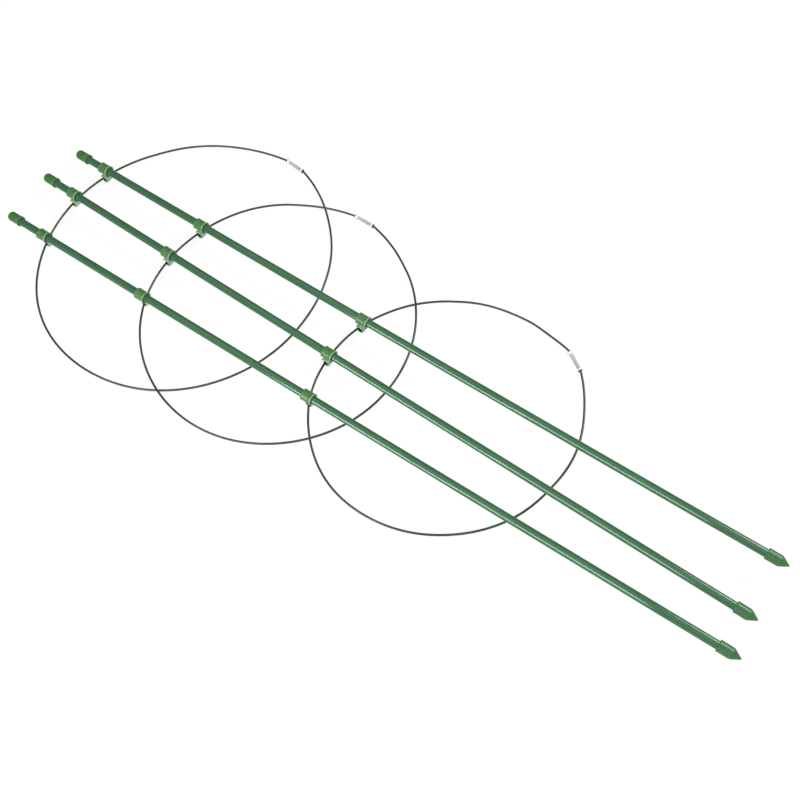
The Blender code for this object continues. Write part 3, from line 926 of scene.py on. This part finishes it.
def add_stakes(coat, steel, ends):
    """The three stakes with their steel cores, caps and tips."""
    down = (0.0, 0.0, -1.0)
    for stake, (start, end) in STAKES.items():
        along = Vector(end) - Vector(start)
        matrix = frame_matrix(start, along, down)
        body = f"stake_{stake}"
        tube = bowed_tube(f"coat_{stake}", stake, along.length, STAKE_RADIUS, COAT_WALL)
        dress(tube, matrix, coat, body, "coated_stake", f"stake_tube_{stake}")
        core = bowed_tube(f"core_{stake}", stake, along.length, CORE_RADIUS, CORE_WALL)
        dress(core, matrix, steel, body, "tube_steel", f"stake_core_{stake}")
        cap = turned(f"cap_{stake}", cap_points(), closed=False)
        dress(cap, matrix, ends["cap"], body, "moulded_green", f"stake_cap_{stake}")
        tip = turned(f"tip_{stake}", tip_points(), closed=False)
        matrix = frame_matrix(end, along, down)
        dress(tip, matrix, ends["tip"], body, "moulded_green", f"stake_tip_{stake}")


def clip_matrix(stake, place):
    """Place of a clip: along its stake's line, level across it, and shifted with the stake's bow."""
    start, end = (Vector(point) for point in STAKES[stake])
    along = (end - start).normalized()
    side = Vector((-along.y, along.x, 0.0)).normalized()
    origin = Vector(place) + along * CLIP_SHIFTS[stake]
    origin -= side * bowed(stake, (Vector(place) - start).dot(along))
    return axes_matrix(along, side, along.cross(side), origin)


def add_clips():
    """The nine clips, with one mesh and one material for the three of each stake."""
    meshes = {stake: clip_mesh(*hook) for stake, hook in HOOKS.items()}
    materials = {
        stake: clip_material(f"clip_plastic_{stake}", capward)
        for stake, (_, capward, _) in HOOKS.items()
    }
    for clip, place in CLIPS.items():
        stake = clip[0]
        material = materials[stake]
        matrix = clip_matrix(stake, place)
        piece = linked(f"clip_body_{clip}", meshes[stake])
        dress(piece, matrix, material, f"clip_{clip}", "moulded_green", f"clip_{clip}")


def add_rings(coat, clear):
    """The three wire rings with their sleeves."""
    for ring, (centre, fall, *_) in RINGS.items():
        x = Vector((math.sqrt(1.0 - fall**2), 0.0, -fall))
        y = Vector((0.0, 1.0, 0.0))
        plane = axes_matrix(x, y, x.cross(y), centre)
        points, middle, direction = ring_path(ring)
        loop = wire_piece(f"wire_{ring}", points)
        dress(loop, plane, coat, f"ring_{ring}", "coated_wire", f"ring_wire_{ring}")
        sleeve = turned(f"sleeve_{ring}", sleeve_points(), closed=True)
        turn = frame_matrix(middle, direction, (0.0, 0.0, 1.0))
        dress(sleeve, plane @ turn, clear, f"ring_{ring}", "clear_sleeve", f"ring_sleeve_{ring}")


# Studio


def add_floor():
    """Plain white floor under the object."""
    shape = bmesh.new()
    bmesh.ops.create_grid(shape, x_segments=1, y_segments=1, size=FLOOR_REACH)
    floor = finished("floor", shape)
    floor.data.materials.append(floor_material())


def add_world():
    """White surroundings, dimmer on the object than to the camera."""
    world = bpy.data.worlds.new("studio")
    world.use_nodes = True
    bpy.context.scene.world = world
    tree = world.node_tree
    seen = added(tree, "ShaderNodeLightPath", {}, "Is Camera Ray")
    strength = mapped(tree, seen, (WORLD_LEVEL, 1.0))
    feed(tree, tree.nodes["Background"], {"Color": WHITE, "Strength": strength})


def add_light(name, place, size, power):
    """A soft area light that points at the middle of the object."""
    data = bpy.data.lights.new(name, "AREA")
    data.shape = "RECTANGLE"
    data.size, data.size_y = size
    data.energy = power
    light = linked(name, data)
    light.location = place
    light.rotation_euler = (-Vector(place)).to_track_quat("-Z", "Y").to_euler()


def add_camera():
    """Camera at the photograph's place, with its view of the object."""
    data = bpy.data.cameras.new("photo_view")
    data.sensor_width = SENSOR_WIDTH
    data.lens = CAMERA_LENS
    forward = Vector(CAMERA_FORWARD).normalized()
    up = Vector(CAMERA_RIGHT).cross(forward).normalized()
    camera = linked("photo_view", data)
    camera.matrix_world = axes_matrix(forward.cross(up), up, -forward, CAMERA_PLACE)
    bpy.context.scene.camera = camera


def add_studio():
    """Floor, surroundings, lights and camera."""
    add_floor()
    add_world()
    for name, (place, size, power) in LIGHTS.items():
        add_light(name, place, size, power)
    add_camera()
    bpy.context.scene.view_settings.view_transform = "Standard"


def main():
    """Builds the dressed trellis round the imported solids."""
    for old in list(bpy.data.objects):
        bpy.data.objects.remove(old, do_unlink=True)
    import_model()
    ends = {end: end_material(f"{end}_plastic", **look) for end, look in END_LOOKS.items()}
    add_stakes(coated_stake_material(), steel_material(), ends)
    add_clips()
    add_rings(wire_material(), sleeve_material())
    add_studio()


main()
